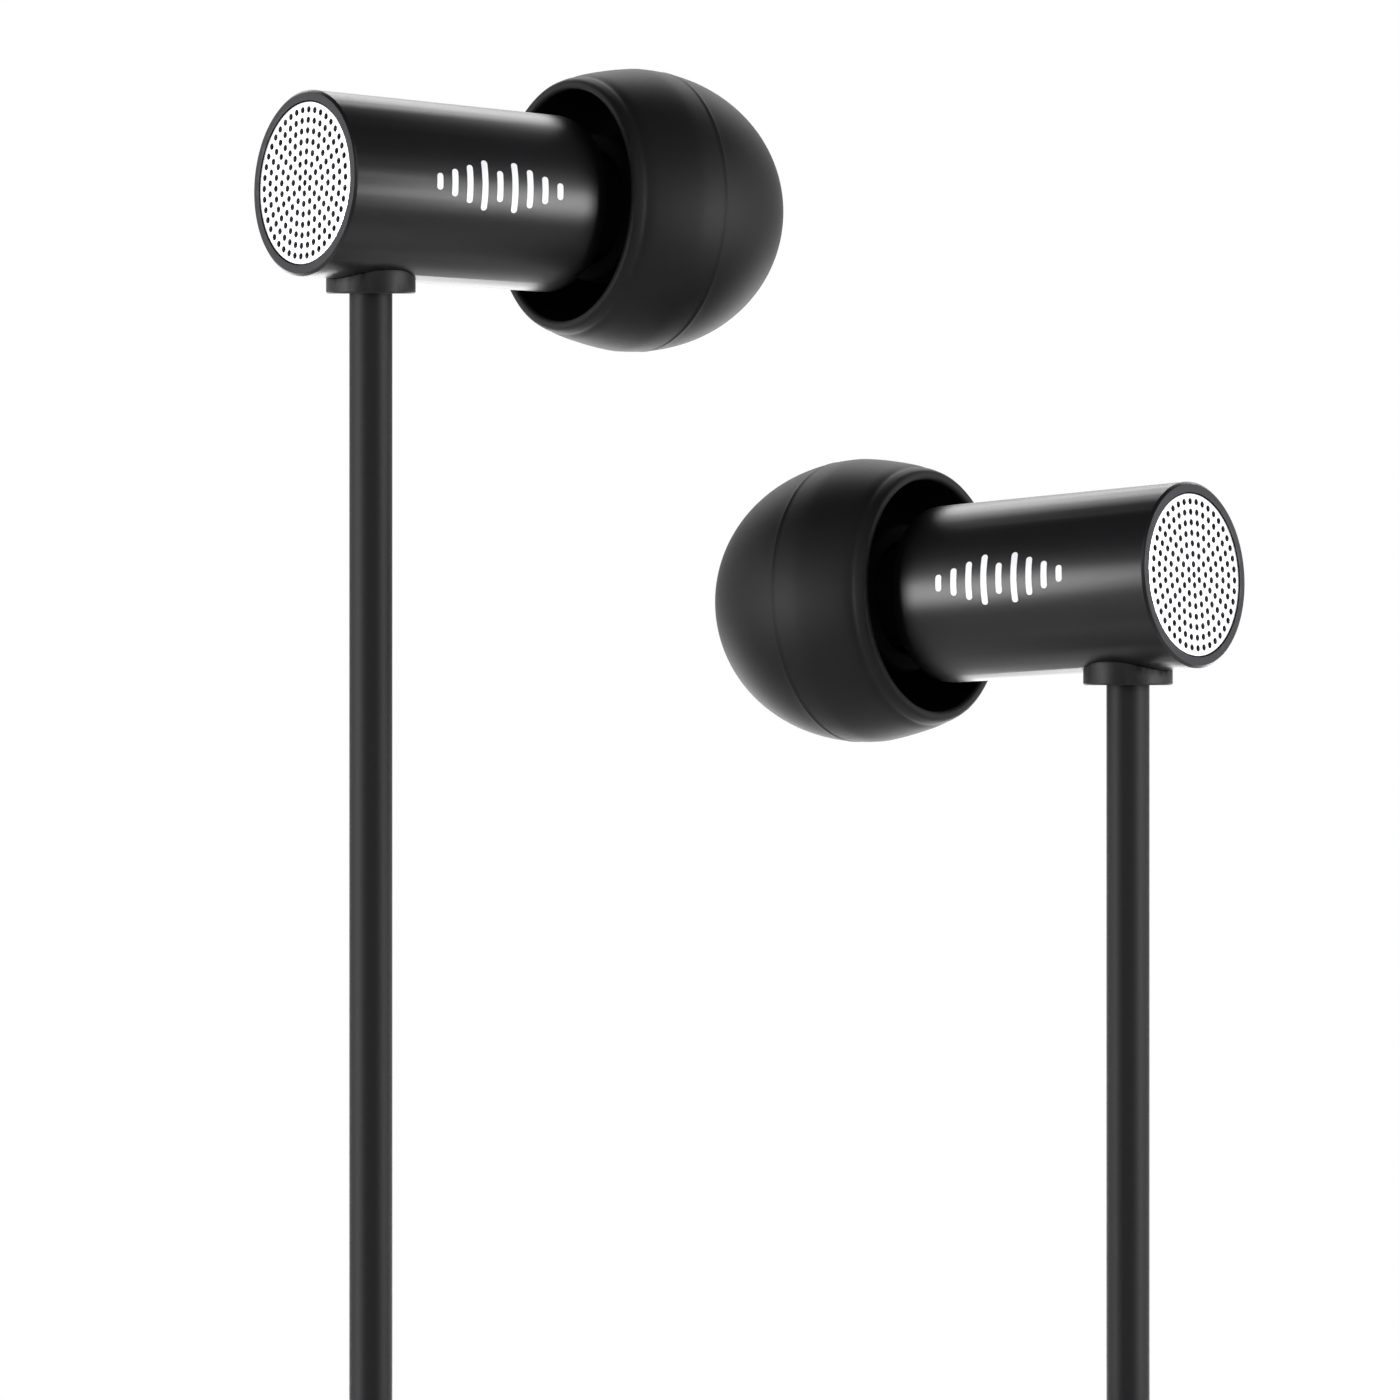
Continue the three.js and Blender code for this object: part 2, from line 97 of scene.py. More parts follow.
legExit = {side: cordPlace(side).translation / mm for side in ("left", "right")}

cameraView = {
    "distance": 2000,  # from the rear faces; a long lens keeps the pair mirror-like
    "width": 58.333,  # what the frame holds at that distance
    "right": 16.49,  # frame centre from the left earphone's rear centre
    "down": 21.55,
}


def setCamera():
    rear, _ = earAxis("left")
    place = rear + Vector((cameraView["right"], -cameraView["distance"], -cameraView["down"]))
    bpy.ops.object.camera_add(location=place * mm, rotation=(math.pi / 2, 0, 0))
    camera = bpy.context.object
    camera.name = "camera"
    camera.data.sensor_width = 36
    camera.data.lens = 36 * cameraView["distance"] / cameraView["width"]
    camera.data.clip_start = 0.05
    camera.data.clip_end = 50
    bpy.context.scene.camera = camera


setCamera()
print("stage: camera set")


def linear(hexColour, alpha=1.0):
    parts = [int(hexColour[i : i + 2], 16) / 255 for i in (1, 3, 5)]
    return [c / 12.92 if c <= 0.04045 else ((c + 0.055) / 1.055) ** 2.4 for c in parts] + [alpha]


def addNode(material, kind, settings=None, links=None):
    node = material.node_tree.nodes.new(kind)
    for key, value in (settings or {}).items():
        if isinstance(key, int) or key in node.inputs:
            node.inputs[key].default_value = value
        else:
            setattr(node, key, value)
    for key, source in (links or {}).items():
        material.node_tree.links.new(source, node.inputs[key])
    return node


def startMaterial(name):
    material = bpy.data.materials.new(name)
    material.use_nodes = True
    material.node_tree.nodes.clear()
    return material


def endMaterial(material, settings, links):
    shader = addNode(material, "ShaderNodeBsdfPrincipled", settings, links)
    addNode(material, "ShaderNodeOutputMaterial", {}, {"Surface": shader.outputs["BSDF"]})
    return material


# Most finishes here are a base colour that drifts a little, with a grain of a real size in mm.
def grainedFinish(name, dark, light, roughness, metallic=0.0, grain=0.15, drift=4.0, bump=0.3, **more):
    material = startMaterial(name)
    where = addNode(material, "ShaderNodeTexCoord").outputs["Object"]
    fine = addNode(
        material,
        "ShaderNodeTexNoise",
        {"Scale": 1 / (grain * mm), "Detail": 3.0, "Roughness": 0.6},
        {"Vector": where},
    )
    broad = addNode(
        material,
        "ShaderNodeTexNoise",
        {"Scale": 1 / (drift * mm), "Detail": 2.0},
        {"Vector": where},
    )
    blend = addNode(
        material,
        "ShaderNodeMath",
        {"operation": "MULTIPLY_ADD", 1: 0.35},
        {0: fine.outputs["Fac"], 2: broad.outputs["Fac"]},
    )
    spread = addNode(
        material,
        "ShaderNodeMapRange",
        {"From Min": 0.35, "From Max": 0.95},
        {"Value": blend.outputs["Value"]},
    )
    colour = addNode(
        material,
        "ShaderNodeMix",
        {"data_type": "RGBA", 6: linear(dark), 7: linear(light)},
        {0: spread.outputs["Result"]},
    )
    rough = addNode(
        material,
        "ShaderNodeMapRange",
        {"To Min": roughness - 0.05, "To Max": roughness + 0.05},
        {"Value": fine.outputs["Fac"]},
    )
    relief = addNode(
        material,
        "ShaderNodeBump",
        {"Strength": bump, "Distance": grain * mm * 0.1},
        {"Height": fine.outputs["Fac"]},
    )
    links = {
        "Base Color": colour.outputs[2],
        "Roughness": rough.outputs["Result"],
        "Normal": relief.outputs["Normal"],
    }
    return endMaterial(material, {"Metallic": metallic, **more}, links)


# Woven acoustic cloth or hook-and-loop webbing: two crossed waves at the thread spacing.
def wovenFinish(name, dark, light, thread, roughness=0.8):
    material = startMaterial(name)
    where = addNode(material, "ShaderNodeTexCoord").outputs["Object"]
    waves = []
    for direction in ("X", "Z"):
        waves.append(
            addNode(
                material,
                "ShaderNodeTexWave",
                {"bands_direction": direction, "Scale": 1 / (thread * mm) / 3.14, "Distortion": 0.4},
                {"Vector": where},
            ).outputs["Fac"]
        )
    weave = addNode(material, "ShaderNodeMath", {"operation": "MAXIMUM"}, {0: waves[0], 1: waves[1]})
    colour = addNode(
        material,
        "ShaderNodeMix",
        {"data_type": "RGBA", 6: linear(dark), 7: linear(light)},
        {0: weave.outputs["Value"]},
    )
    relief = addNode(
        material,
        "ShaderNodeBump",
        {"Strength": 0.5, "Distance": thread * mm * 0.3},
        {"Height": weave.outputs["Value"]},
    )
    links = {"Base Color": colour.outputs[2], "Normal": relief.outputs["Normal"]}
    return endMaterial(material, {"Roughness": roughness, "Sheen Weight": 0.2}, links)


finishes = {
    # bead-blasted aluminium under a dyed black oxide: satin, with metal glints at a glance
    "anodised": grainedFinish(
        "blackAnodisedAluminium", "#0d0d0f", "#131316", 0.36, 0.3, grain=0.08, drift=3.0, bump=0.12
    ),
    # the same, faced off on the lathe: a little lighter and smoother
    "rim": grainedFinish("facedAnodisedAluminium", "#1d1d20", "#26262a", 0.34, 0.5, grain=0.12, bump=0.1),
    # bright nickel-plated steel sheet, etched through
    "grille": grainedFinish("nickelPlatedSteel", "#efeef2", "#f8f7fa", 0.32, 1.0, grain=0.1, bump=0.05),
    "cloth": wovenFinish("acousticCloth", "#08080a", "#1a1a1d", 0.12),
    # injection-moulded ABS inside the housing
    "plastic": grainedFinish("blackAbs", "#1c1c1e", "#26262a", 0.5, grain=0.2),
    # green solder mask over woven glass board
    "board": grainedFinish("solderMask", "#14472a", "#1f6b3f", 0.35, grain=0.3, **{"Coat Weight": 0.4}),
    # enamelled copper wire: clear red-brown lacquer over metal
    "copper": grainedFinish("enamelledCopper", "#8f4a26", "#b4663a", 0.25, 1.0, grain=0.1, bump=0.1),
    "crimp": grainedFinish("tinnedCopper", "#b9815c", "#cf9a74", 0.3, 1.0, grain=0.15, bump=0.15),
    # zinc-plated pressed steel of the driver
    "steel": grainedFinish("zincPlatedSteel", "#a9a9ad", "#c4c4c8", 0.35, 1.0, grain=0.2, bump=0.15),
    # nickel-coated neodymium
    "magnet": grainedFinish("nickelCoatedNeodymium", "#8e8e93", "#a5a5aa", 0.28, 1.0, grain=0.25, bump=0.1),
    # thin amber polymer film
    "film": grainedFinish("pekFilm", "#b79a5e", "#cdb27a", 0.22, grain=0.4, **{"Coat Weight": 0.3}),
    "foam": grainedFinish("closedCellFoam", "#17171a", "#232326", 0.85, grain=0.12, bump=0.8),
    # liquid silicone rubber, satin from a lightly eroded mould, soft to light at its thin edges
    "silicone": grainedFinish(
        "blackSilicone", "#0a0a0b", "#101012", 0.56, grain=0.12, drift=5.0, bump=0.08,
        **{"Specular IOR Level": 0.19},
    ),
    # black firm silicone of the tip's core, its colour darker than the dome's: painted shade for the inside
    # of the tip's opening
    "core": grainedFinish(
        "firmSiliconeWithPaintedShade", "#060607", "#0b0b0c", 0.75, grain=0.15, bump=0.12,
        **{"Specular IOR Level": 0.06},
    ),
    "relief": grainedFinish(
        "softPvc", "#0e0e10", "#151517", 0.5, grain=0.15, bump=0.25, **{"Specular IOR Level": 0.22}
    ),
    "moulding": grainedFinish("overmouldedTpe", "#19191b", "#222225", 0.5, grain=0.15, bump=0.3),
    "barrel": grainedFinish("textureMouldedAbs", "#161618", "#1f1f22", 0.45, grain=0.25, bump=0.5),
    # thin gold over nickel on turned brass
    "gold": grainedFinish("goldPlatedBrass", "#d9ae55", "#e6c06c", 0.18, 1.0, grain=0.3, bump=0.04),
    "insulator": grainedFinish("blackNylon", "#151517", "#1d1d20", 0.4, grain=0.2),
    "webbing": wovenFinish("hookAndLoopWebbing", "#0f0f11", "#29292d", 0.5),
    # two-part pad-printing ink, opaque white and slightly proud
    "ink": grainedFinish("whitePadPrint", "#dedee2", "#ececef", 0.45, grain=0.1, bump=0.15),
}


# Extruded TPE jacket: matt, with a faint fine grain.
def cordFinish():
    material = startMaterial("extrudedTpeJacket")
    where = addNode(material, "ShaderNodeTexCoord").outputs["Object"]
    grain = addNode(
        material,
        "ShaderNodeTexNoise",
        {"Scale": 1 / (0.25 * mm), "Detail": 4.0, "Roughness": 0.65},
        {"Vector": where},
    )
    colour = addNode(
        material,
        "ShaderNodeMix",
        {"data_type": "RGBA", 6: linear("#0c0c0e"), 7: linear("#131315")},
        {0: grain.outputs["Fac"]},
    )
    relief = addNode(
        material,
        "ShaderNodeBump",
        {"Strength": 0.3, "Distance": 0.01 * mm},
        {"Height": grain.outputs["Fac"]},
    )
    links = {"Base Color": colour.outputs[2], "Normal": relief.outputs["Normal"]}
    return endMaterial(material, {"Roughness": 0.55, "Specular IOR Level": 0.2}, links)


finishes["cord"] = cordFinish()
print("stage: materials made")

coil = {  # millimetres from the coil's centre: x across, y away, z up
    "z": -69.1,
    "leftR": 14.35,
    "rightR": 12.4,
    "outerR": 10.45,
    "innerR": 8.45,
    "pairX": 1.3,
    "pairY": -5.6,
    "mainY": -7.5,
    "splitterTop": -38,
    "splitterLength": 12,
    "plugTop": -20,
}
coil["centre"] = Vector((pose["mirrorX"], legExit["left"].y, coil["z"]))
coil["legX"] = pose["mirrorX"] - legExit["left"].x


def fromCoil(x, y, z):
    return coil["centre"] + Vector((x, y, z))


def ramp(value, start, stop, low, high, soft=False):
    t = min(max((value - start) / (stop - start), 0), 1)
    if soft:
        t = t * t * (3 - 2 * t)
    return low + (high - low) * t


# A smooth line through the points, the centripetal kind, sampled about every spacing.
def smoothLine(points, spacing):
    ends = [points[0] * 2 - points[1], *points, points[-1] * 2 - points[-2]]
    line = []
    for a, b, c, d in zip(ends, ends[1:], ends[2:], ends[3:]):
        knots = [0.0]
        for p, q in ((a, b), (b, c), (c, d)):
            knots.append(knots[-1] + max((q - p).length, 1e-6) ** 0.5)
        t0, t1, t2, t3 = knots
        count = max(1, round((c - b).length / spacing))
        for i in range(count):
            t = t1 + (t2 - t1) * i / count
            ab = a.lerp(b, (t - t0) / (t1 - t0))
            bc = b.lerp(c, (t - t1) / (t2 - t1))
            cd = c.lerp(d, (t - t2) / (t3 - t2))
            abc = ab.lerp(bc, (t - t0) / (t2 - t0))
            bcd = bc.lerp(cd, (t - t1) / (t3 - t1))
            line.append(abc.lerp(bcd, (t - t1) / (t2 - t1)))
    line.append(points[-1].copy())
    return line


# Turns of a coil: angles in degrees from +X towards +Z, and radius and sideways place as functions
# of the angle.
def turns(start, stop, radius, sideways, step=10):
    count = round(abs(stop - start) / step)
    angles = [start + (stop - start) * i / count for i in range(count + 1)]
    return [
        fromCoil(
            radius(a) * math.cos(math.radians(a)), sideways(a), radius(a) * math.sin(math.radians(a))
        )
        for a in angles
    ]


def leftRoute():
    x, legX = pose["mirrorX"], coil["legX"]
    down = [
        Vector((x - legX, coil["centre"].y, legExit["left"].z - 1.55)),
        Vector((x - legX, coil["centre"].y, -15)),
        Vector((x - legX, coil["centre"].y, -30)),
        fromCoil(-legX, 0, 22),
        fromCoil(-legX, 0, 18),
        fromCoil(-legX + 0.05, 1.2, 12.5),
        fromCoil(-legX + 0.2, 2.4, 8.5),
        fromCoil(-legX + 0.45, 2.9, 5.2),
    ]
    wound = turns(
        168,
        1302,
        lambda a: coil["leftR"] + 1.85 * max(0, 1 - (a - 161.3) / 38.7) ** 2,
        lambda a: ramp(a, 200, 1302, 2.9, -2.9),
    )
    out = [
        fromCoil(-3.95, -5.1, -15.75),
        fromCoil(-2.52, -5.4, -17.45),
        fromCoil(-1.61, coil["pairY"], -19.5),
        fromCoil(-coil["pairX"], coil["pairY"], -21.7),
        fromCoil(-coil["pairX"], coil["pairY"], -23.5),
        fromCoil(-coil["pairX"], coil["pairY"], -30),
        fromCoil(-coil["pairX"], coil["pairY"], coil["splitterTop"] - 2),
    ]
    return down, wound, out


def rightRoute():
    x, legX = pose["mirrorX"], coil["legX"]
    down = [
        Vector((x + legX, coil["centre"].y, legExit["right"].z - 1.55)),
        Vector((x + legX, coil["centre"].y, -27)),
        Vector((x + legX, coil["centre"].y, -38)),
        fromCoil(legX, 0, 22),
        fromCoil(legX, 0, 18.5),
        fromCoil(legX - 0.05, 1.6, 14.5),
        fromCoil(legX - 0.4, 4.2, 9.5),
        fromCoil(legX - 1.3, 5.2, 6.3),
        fromCoil(legX - 2.2, 5.35, 4.3),
    ]

    def sideways(a):
        if a > -80:
            return ramp(a, 0, -80, 5.35, 3.7, soft=True)
        if a > -1405:
            return ramp(a, -80, -1405, 3.7, -3.7)
        return ramp(a, -1405, -1486, -3.7, -5.5, soft=True)

    wound = turns(
        10, -1488, lambda a: coil["rightR"] + 1.85 * max(0, 1 - (17.6 - a) / 16.7) ** 2, sideways
    )
    out = [
        fromCoil(4.9, -5.6, -12.27),
        fromCoil(3.95, coil["pairY"], -13.13),
        fromCoil(2.52, coil["pairY"], -14.83),
        fromCoil(1.61, coil["pairY"], -16.9),
        fromCoil(coil["pairX"], coil["pairY"], -19.1),
        fromCoil(coil["pairX"], coil["pairY"], -21),
        fromCoil(coil["pairX"], coil["pairY"], -30),
        fromCoil(coil["pairX"], coil["pairY"], coil["splitterTop"] - 2),
    ]
    return down, wound, out


def mainRoute():
    upX, downX = coil["outerR"], -coil["innerR"]
    bottom = coil["splitterTop"] - coil["splitterLength"]
    turnZ = bottom - 2.5
    up = [fromCoil(0, coil["pairY"], bottom + 3)]
    for i in range(7):
        a = math.pi + math.pi * i / 6
        up.append(fromCoil(upX / 2 * (1 + math.cos(a)), coil["pairY"], turnZ + upX / 2 * math.sin(a)))
    up += [
        fromCoil(upX, coil["pairY"], turnZ + 10),
        fromCoil(upX, coil["mainY"], turnZ + 26),
        fromCoil(upX, coil["mainY"], -14),
        fromCoil(upX, coil["mainY"], -1),
    ]

    def sideways(a):  # out along the outer layer, back along the inner one
        if a < 110:
            return ramp(a, 0, 110, coil["mainY"], -5.25, soft=True)
        if a < 2000:
            return ramp(a, 110, 2000, -5.25, 5.25)
        if a < 2160:
            return 5.25 + 0.35 * math.sin(math.pi * (a - 2000) / 160)
        if a < 4050:
            return ramp(a, 2160, 4050, 5.25, -5.25)
        return ramp(a, 4050, 4140, -5.25, coil["mainY"], soft=True)

    wound = turns(
        10, 4130, lambda a: ramp(a, 2000, 2160, coil["outerR"], coil["innerR"], soft=True), sideways
    )
    down = [
        fromCoil(downX, coil["mainY"], -0.5),
        fromCoil(downX, coil["mainY"], -10),
        fromCoil(downX, coil["mainY"], coil["plugTop"] - 9),
    ]
    return up, wound, down


cordStep = 1.4  # length of one straight facet of a cord


def makeCord(name, route, diameter):
    points = smoothLine([p for part in route for p in part], cordStep)
    curve = bpy.data.curves.new(name, "CURVE")
    curve.dimensions = "3D"
    curve.bevel_depth = diameter / 2 * mm
    curve.bevel_resolution = 7
    curve.use_fill_caps = True
    spline = curve.splines.new("POLY")
    spline.points.add(len(points) - 1)
    for point, place in zip(spline.points, points):
        point.co = (*(place * mm), 1)
    spline.use_smooth = True
    cord = bpy.data.objects.new(name, curve)
    bpy.context.scene.collection.objects.link(cord)
    curve.materials.append(finishes["cord"])
    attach(cord, root)
    length = sum((b - a).length for a, b in zip(points, points[1:]))
    print(f"  {name}: {length:.0f} mm")
    return cord


leftCord = makeCord("leftLegCord", leftRoute(), pose["legD"])
rightCord = makeCord("rightLegCord", rightRoute(), pose["legD"])
mainCord = makeCord("mainCord", mainRoute(), pose["mainD"])
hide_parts("cord_left_upper", "cord_left_coil", "cord_left_lower")
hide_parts("cord_right_upper", "cord_right_coil", "cord_right_lower")
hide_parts("cord_main_upper", "cord_main_coil", "cord_main_lower")
print("stage: cords laid")


# Where a leg cord leaves its strain relief, in metres.
def cordEnds(side):
    rear, _ = earAxis(side)
    return Vector((legExit[side].x, legExit[side].y, rear.z + pose["flange"])) * mm


def clearSelection():
    if bpy.context.object and bpy.context.object.mode != "OBJECT":
        bpy.ops.object.mode_set(mode="OBJECT")
    bpy.ops.object.select_all(action="DESELECT")


def takeUp(piece):
    clearSelection()
    piece.select_set(True)
    bpy.context.view_layer.objects.active = piece


def selectVerts(piece, wanted):
    mesh = bmesh.from_edit_mesh(piece.data)
    mesh.verts.ensure_lookup_table()
    bpy.ops.mesh.select_all(action="DESELECT")
    for i in wanted:
        mesh.verts[i].select = True
    mesh.select_flush(True)
    bmesh.update_edit_mesh(piece.data)


def selectFaces(piece, test):
    mesh = bmesh.from_edit_mesh(piece.data)
    bpy.ops.mesh.select_all(action="DESELECT")
    for face in mesh.faces:
        face.select = test(face)
    mesh.select_flush(True)
    bmesh.update_edit_mesh(piece.data)


# A turned piece: a ring is added at the first [radius, height] and extruded from point to point.
# A profile that starts and ends on the axis is closed there, any other is bridged end to end.
def turned(name, profile, sides=64, spread=0.0):
    onAxis = profile[0][0] == 0
    rings = profile[1:-1] if onAxis else profile
    clearSelection()
    bpy.ops.mesh.primitive_circle_add(vertices=sides, radius=rings[0][0], location=(0, 0, 0))
    piece = bpy.context.object
    piece.name = name
    bpy.ops.object.mode_set(mode="EDIT")
    bpy.ops.mesh.select_all(action="SELECT")
    bpy.ops.transform.translate(value=(0, 0, rings[0][1]))
    if spread:
        for side in (1, -1):
            verts = bmesh.from_edit_mesh(piece.data).verts
            selectVerts(piece, [i for i, v in enumerate(verts) if v.co.x * side > 0.01])
            bpy.ops.transform.translate(value=(side * spread, 0, 0))
        bpy.ops.mesh.select_all(action="SELECT")
    for (r, z), (nextR, nextZ) in zip(rings, rings[1:]):
        bpy.ops.mesh.extrude_region_move(TRANSFORM_OT_translate={"value": (0, 0, nextZ - z)})
        ratio = nextR / r
        bpy.ops.transform.resize(value=(ratio, ratio, 1), center_override=(0, 0, nextZ))
    last = sides * (len(rings) - 1)
    if onAxis:
        for first, ring, pole in ((last, rings[-1], profile[-1]), (0, rings[0], profile[0])):
            selectVerts(piece, range(first, first + sides))
            bpy.ops.mesh.extrude_region_move(TRANSFORM_OT_translate={"value": (0, 0, pole[1] - ring[1])})
            bpy.ops.mesh.merge(type="COLLAPSE")
    else:
        selectVerts(piece, [*range(sides), *range(last, last + sides)])
        bpy.ops.mesh.bridge_edge_loops()
    bpy.ops.mesh.select_all(action="SELECT")
    bpy.ops.mesh.normals_make_consistent(inside=False)
    bpy.ops.object.mode_set(mode="OBJECT")
    return piece


def rod(name, radius, low, high, x=0.0, y=0.0, sides=48):
    clearSelection()
    bpy.ops.mesh.primitive_cylinder_add(
        vertices=sides, radius=radius, depth=high - low, location=(x, y, (low + high) / 2)
    )
    piece = bpy.context.object
    piece.name = name
    bpy.ops.object.transform_apply(location=True, rotation=False, scale=False)
    return piece


def block(name, size, centre, rounding=0.0, along=None):
    clearSelection()
    bpy.ops.mesh.primitive_cube_add(size=1, location=centre)
    piece = bpy.context.object
    piece.name = name
    piece.scale = size
    bpy.ops.object.transform_apply(location=True, rotation=False, scale=True)
    if rounding:
        bpy.ops.object.mode_set(mode="EDIT")
        mesh = bmesh.from_edit_mesh(piece.data)
        bpy.ops.mesh.select_all(action="DESELECT")
        for edge in mesh.edges:
            line = (edge.verts[1].co - edge.verts[0].co).normalized()
            edge.select = along is None or abs(line[along]) > 0.9
        bmesh.update_edit_mesh(piece.data)
        bpy.ops.mesh.bevel(offset=rounding, segments=5, affect="EDGES")
        bpy.ops.object.mode_set(mode="OBJECT")
    return piece


def finishWith(piece, kind, **settings):
    takeUp(piece)
    modifier = piece.modifiers.new(kind.lower(), kind)
    for key, value in settings.items():
        setattr(modifier, key, value)
    bpy.ops.object.modifier_apply(modifier=modifier.name)


def breakEdges(piece, width, segments=2, angle=30):
    finishWith(
        piece,
        "BEVEL",
        width=width,
        segments=segments,
        limit_method="ANGLE",
        angle_limit=math.radians(angle),
        harden_normals=False,
    )


def cut(piece, tool, operation="DIFFERENCE"):
    finishWith(piece, "BOOLEAN", object=tool, operation=operation, solver="EXACT")
    bpy.data.objects.remove(tool, do_unlink=True)


def duplicate(piece, name):
    takeUp(piece)
    bpy.ops.object.duplicate()
    copy = bpy.context.object
    copy.name = name
    return copy


def smooth(piece, angle=35):
    takeUp(piece)
    bpy.ops.object.shade_smooth_by_angle(angle=math.radians(angle))


def putInPlace(piece, place):
    takeUp(piece)
    piece.matrix_world = place
    bpy.ops.object.transform_apply(location=True, rotation=True, scale=True)


def handOver(piece, finish, body=root, nodes=()):
    if not piece.data.materials:
        piece.data.materials.append(finishes[finish])
    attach(piece, body)
    if nodes:
        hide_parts(*nodes)


# The left and the right copy of one bench piece, each with its own mesh.
def forBothEars(piece, name, finish, place=earPlace, body=None, nodes=()):
    made = {}
    for side in ("left", "right"):
        copy = duplicate(piece, side + name)
        putInPlace(copy, place(side))
        handOver(copy, finish, body(side) if body else root, [f"{side}_{n}" for n in nodes])
        made[side] = copy
    bpy.data.objects.remove(piece, do_unlink=True)
    return made


cordToEar = earPlace("left").inverted() @ cordPlace("left")
earToCord = cordToEar.inverted()

housing = {
    "rearR": 3.9,
    "taper": 0.016,
    "length": 12.2,
    "bore": 3.2,
    "seatR": 3.45,  # recess that takes the grille
    "seatDepth": 0.4,
    "chamfer": 0.11,
    "shoulder": 1.1,
    "neckR": 2.05,
    "lipR": 2.3,
    "nozzleBore": 1.6,
    "cordHoleR": 1.4,
    "face": 17.6,
    "sides": 128,
    "broken": 0.035,
}


def barrelR(s):
    return housing["rearR"] - housing["taper"] * s


def makeHousing():
    h = housing
    top = barrelR(h["length"])
    shoulder = [
        (top - h["shoulder"] * (1 - math.cos(a)), h["length"] + h["shoulder"] * math.sin(a))
        for a in (math.pi / 2 * i / 10 for i in range(11))
    ]
    profile = [
        (h["seatR"], 0),
        (h["rearR"] - h["chamfer"], 0),
        (h["rearR"], h["chamfer"]),
        *shoulder,
        (h["neckR"], h["length"] + h["shoulder"] + 0.1),
        (h["neckR"], h["face"] - 1.3),
        (h["lipR"], h["face"] - 1.0),
        (h["lipR"], h["face"] - 0.3),
        (h["lipR"] - 0.25, h["face"]),
        (h["nozzleBore"] + 0.15, h["face"]),
        (h["nozzleBore"] + 0.15, h["face"] - 0.35),
        (h["nozzleBore"], h["face"] - 0.35),
        (h["nozzleBore"], h["length"] - 0.2),
        (h["bore"], h["length"] - 0.2),
        (h["bore"], h["seatDepth"]),
        (h["seatR"], h["seatDepth"]),
    ]
    piece = turned("housing", profile, h["sides"])
    drill = rod("drill", h["cordHoleR"], -6, -1.5)
    drill.data.transform(cordToEar)
    cut(piece, drill)
    breakEdges(piece, h["broken"])
    piece.data.materials.append(finishes["anodised"])
    piece.data.materials.append(finishes["rim"])
    takeUp(piece)
    bpy.ops.object.mode_set(mode="EDIT")
    selectFaces(piece, lambda f: f.calc_center_median().z < 0.02 and f.normal.z < -0.9)
    piece.active_material_index = 1
    bpy.ops.object.material_slot_assign()
    bpy.ops.object.mode_set(mode="OBJECT")
    smooth(piece)
    return forBothEars(piece, "Housing", "anodised", nodes=["housing"])


makeHousing()
print("stage: housings made")

grille = {
    "r": 3.4,
    "near": 0.03,
    "thick": 0.12,
    "rings": 7,  # round the centre hole, six more holes in each
    "pitch": 0.4386,
    "holeR": 0.14,
    "edge": 0.03,
}


def makeGrille():
    g = grille
    back = g["near"] + g["thick"]
    disc = turned("grille", [(0, g["near"]), (g["r"], g["near"]), (g["r"], back), (0, back)], 96)
    breakEdges(disc, g["edge"])
    tool = rod("punch", g["holeR"], -0.5, 1, sides=12)
    takeUp(tool)
    bpy.ops.object.mode_set(mode="EDIT")
    for ring in range(1, g["rings"] + 1):
        for i in range(6 * ring):
            a = 2 * math.pi * i / (6 * ring)
            place = (g["pitch"] * ring * math.cos(a), g["pitch"] * ring * math.sin(a), 0.25)
            bpy.ops.mesh.primitive_cylinder_add(vertices=12, radius=g["holeR"], depth=1.5, location=place)
    bpy.ops.object.mode_set(mode="OBJECT")
    cut(disc, tool)
    smooth(disc, 30)
    return forBothEars(disc, "Grille", "grille", nodes=["rear_grille"])


makeGrille()
print("stage: grilles punched")

relief = {
    "r": 1.87,
    "shoulder": 0.5,
    "rise": 1.35,  # from the underside to the top, before it is cut to the housing
    "neckR": 1.34,
    "sideEdge": 0.06,
    "barrelGap": 0.02,
    "broken": 0.03,
}
cordGap = 0.03  # round a cord where it passes through a piece


def makeRelief():
    f = relief
    rear, _ = earAxis("left")
    low = rear.z + pose["flange"] - legExit["left"].z
    top = low + f["rise"]
    rounded = [
        (f["r"] - f["shoulder"] * (1 - math.cos(a)), top - f["shoulder"] * (1 - math.sin(a)))
        for a in (math.pi / 2 * i / 8 for i in range(9))
    ]
    side = [(f["r"] - f["sideEdge"], low), (f["r"], low + f["sideEdge"])]
    piece = turned("relief", [(0, low), *side, *rounded, (0, top)], 64)
    barrel = rod("barrel", 1, -1, housing["length"], sides=housing["sides"])
    for vert in barrel.data.vertices:
        r = barrelR(vert.co.z) + f["barrelGap"]
        vert.co.x, vert.co.y = vert.co.x * r, vert.co.y * r
    barrel.data.transform(earToCord)
    cut(piece, barrel)
    cut(piece, rod("neck", f["neckR"], low + 0.3, -housing["bore"] + 0.3), "UNION")
    cut(piece, rod("bore", pose["legD"] / 2 + cordGap, low - 1, 0))
    breakEdges(piece, f["broken"])
    smooth(piece)
    return forBothEars(
        piece, "Relief", "relief", place=cordPlace, nodes=["strain_relief"]
    )


makeRelief()
print("stage: strain reliefs moulded")

